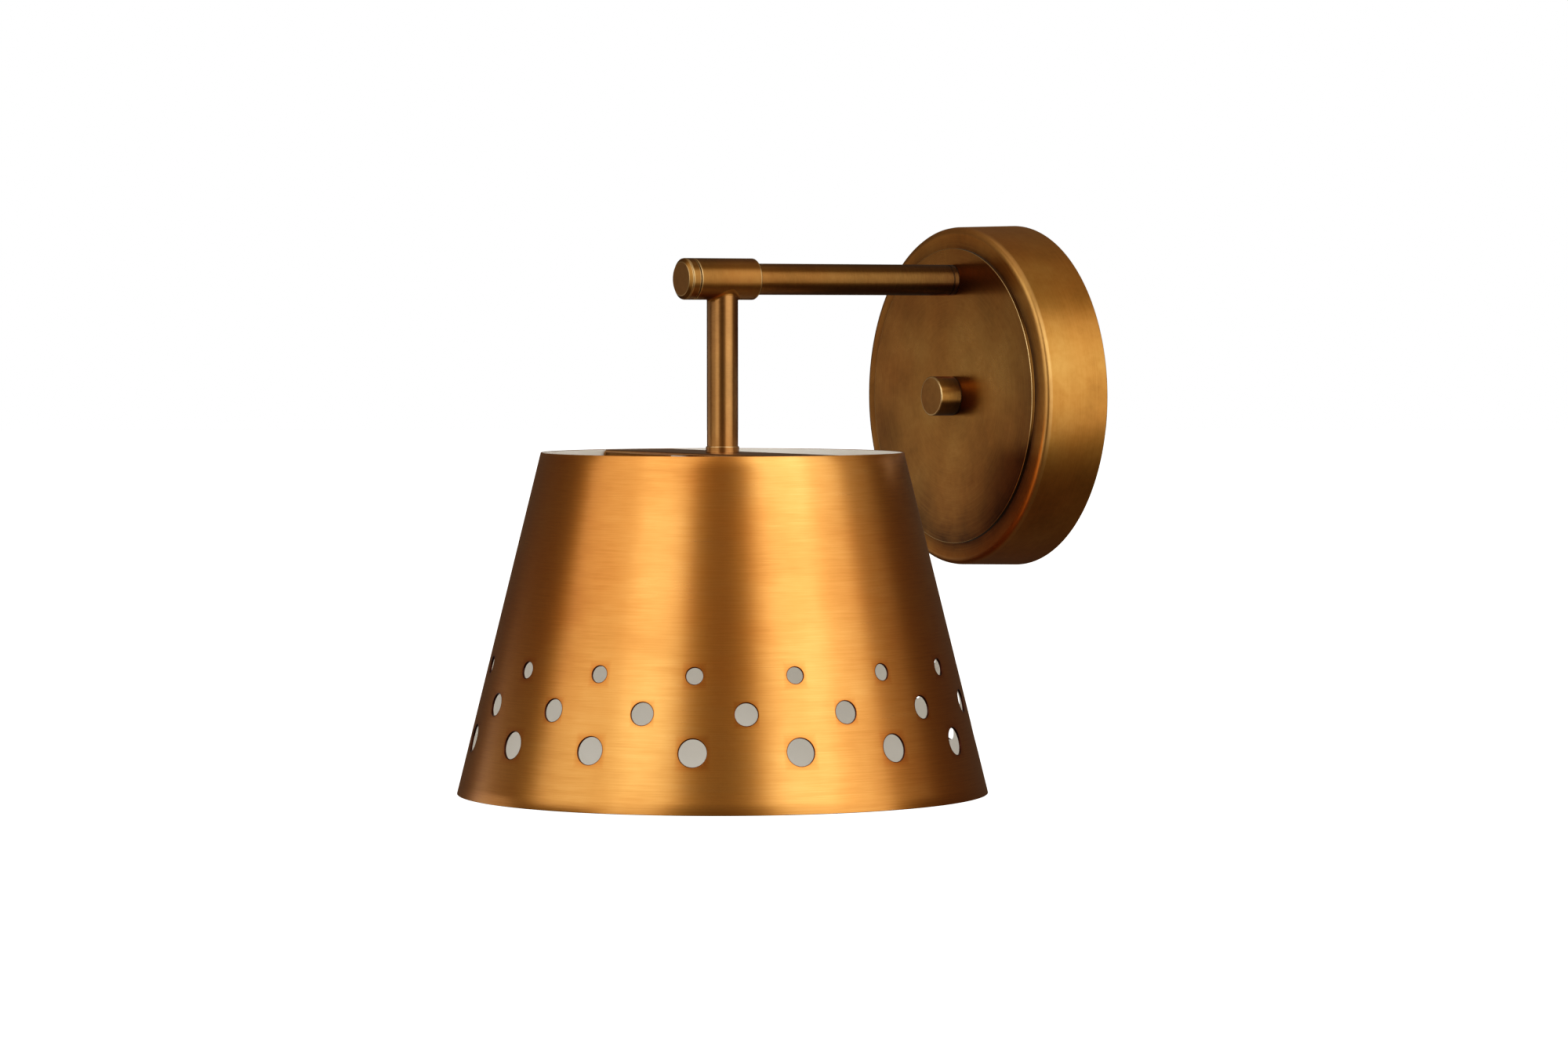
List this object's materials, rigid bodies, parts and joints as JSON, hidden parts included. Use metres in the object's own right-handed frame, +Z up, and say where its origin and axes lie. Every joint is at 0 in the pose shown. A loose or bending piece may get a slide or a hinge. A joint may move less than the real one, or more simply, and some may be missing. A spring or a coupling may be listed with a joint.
{
  "type": "wall sconce",
  "caption": "Wall light with a round canopy, a straight arm, a swinging tee and a downrod that carries an open-topped pierced cone shade.",
  "frame": {"origin": "centre of the canopy's back, on the wall plane", "axes": "-Y away from the wall along the arm, +Z up, +X to the right of someone who faces the wall"},
  "size_m": [0.2032, 0.2338, 0.2178],
  "materials": {
    "aged_brass": "dark rubbed brass, finely brushed, worn bright at the edges",
    "shade_brass": "golden rubbed brass, brushed round the cone, white enamel inside",
    "raw_brass": "plain machined brass",
    "zinc_steel": "zinc plated steel",
    "nickel_shell": "nickel plated sheet",
    "spring_steel": "drawn spring wire",
    "porcelain": "glazed white porcelain",
    "green_screw": "green plated screw",
    "black_plastic": "moulded",
    "washer_nylon": "natural nylon",
    "connector_plastic": "moulded, ribbed",
    "black_insulation": "extruded insulation",
    "white_insulation": "extruded insulation",
    "green_insulation": "extruded insulation"
  },
  "bodies": {
    "wall_mount": {"crossbar": "zinc_steel", "center_stud": "raw_brass", "stud_lock_nut": "raw_brass", "ground_screw": "green_screw", "canopy_pan": "aged_brass", "canopy_plate": "aged_brass", "arm_nipple": "raw_brass", "arm_lock_washer": "zinc_steel", "arm_hex_nut": "raw_brass", "wire_bushing": "black_plastic", "arm_tube": "aged_brass", "pivot_spindle": "raw_brass", "live_lead_arm": "black_insulation", "neutral_lead_arm": "white_insulation", "ground_lead": "green_insulation", "wire_connectors": "connector_plastic"},
    "knob_carrier": {"knob_washer": "washer_nylon"},
    "knob": {"canopy_knob": "aged_brass"},
    "cap_carrier": {"end_ring": "aged_brass"},
    "cap": {"end_cap": "aged_brass"},
    "lamp_head": {"tee_sleeve": "aged_brass", "tee_braze": "aged_brass", "downrod": "aged_brass", "rod_collar": "aged_brass", "rod_nipple": "raw_brass", "shade_strap": "aged_brass", "shade": "shade_brass", "socket_cup": "aged_brass", "rod_nut": "raw_brass", "lampholder_bracket": "zinc_steel", "bracket_screws": "zinc_steel", "lampholder_body": "porcelain", "screw_shell": "nickel_shell", "terminal_screws": "raw_brass", "live_strip": "raw_brass", "live_lead_rod": "black_insulation", "neutral_lead_rod": "white_insulation", "contact_spring": "spring_steel"},
    "contact": {"contact_button": "raw_brass"}
  },
  "joints": [
    {"name": "tee_swing", "type": "hinge", "parent": "wall_mount", "child": "lamp_head", "pos_m": [0, -0.1322, 0.0453], "axis": [0, 1, 0], "range_deg": [-60, 60]},
    {"name": "knob_advance", "type": "slide", "parent": "wall_mount", "child": "knob_carrier", "axis": [0, -1, 0], "range_m": [0, 0.006]},
    {"name": "knob_turn", "type": "hinge", "parent": "knob_carrier", "child": "knob", "pos_m": [0, -0.033, 0], "axis": [0, -1, 0], "range_deg": [0, 2160]},
    {"name": "cap_advance", "type": "slide", "parent": "wall_mount", "child": "cap_carrier", "axis": [0, -1, 0], "range_m": [0, 0.006]},
    {"name": "cap_turn", "type": "hinge", "parent": "cap_carrier", "child": "cap", "pos_m": [0, -0.149, 0.0453], "axis": [0, -1, 0], "range_deg": [0, 2160]},
    {"name": "contact_press", "type": "slide", "parent": "lamp_head", "child": "contact", "axis": [0, 0, 1], "range_m": [0, 0.0012], "stiffness_N_per_m": 1500, "springref_m": -0.001, "deforming": ["contact_spring"]}
  ],
  "couplings": [
    {"joint": "knob_turn", "follows": "knob_advance", "rad_per_m": 6283.2},
    {"joint": "cap_turn", "follows": "cap_advance", "rad_per_m": 6283.2}
  ]
}
